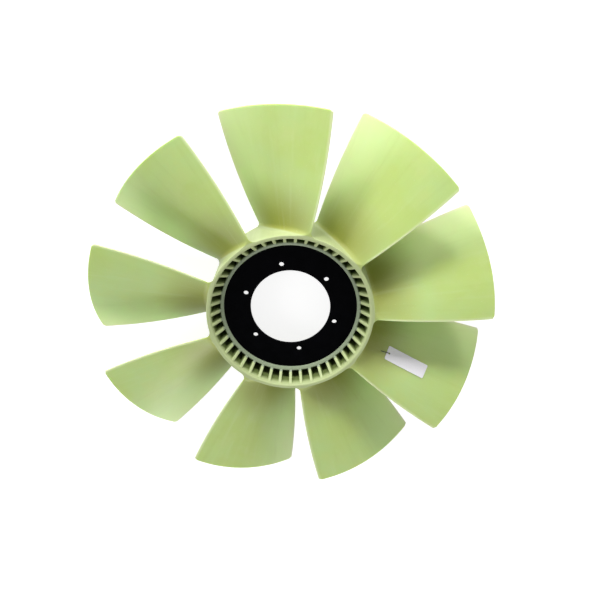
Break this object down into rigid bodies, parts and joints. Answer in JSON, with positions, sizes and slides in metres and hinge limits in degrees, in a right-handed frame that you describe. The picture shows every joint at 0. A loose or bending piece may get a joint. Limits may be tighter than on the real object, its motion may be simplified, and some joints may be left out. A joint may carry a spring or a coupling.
{
  "type": "axial fan impeller",
  "caption": "Moulded plastic axial fan wheel with wide pitched blades on a ribbed hub, and a steel mounting disc with a large bore and a ring of bolt holes.",
  "frame": {"origin": "centre of the bore on the front face of the steel disc", "axes": "+Z along the wheel's axis towards its front, the side with the ribs; the wheel lies flat on the rear edge of its hub"},
  "size_m": [0.75, 0.7499, 0.097],
  "materials": {
    "green_nylon": "satin moulded nylon, pale green",
    "black_steel": "black coated, satin",
    "tag_paper": "matte white card",
    "black_nylon": "matte black nylon"
  },
  "bodies": {
    "root": {"fan_moulding": "green_nylon", "mounting_disc": "black_steel", "tag": "tag_paper", "tag_tie": "black_nylon"}
  },
  "joints": []
}
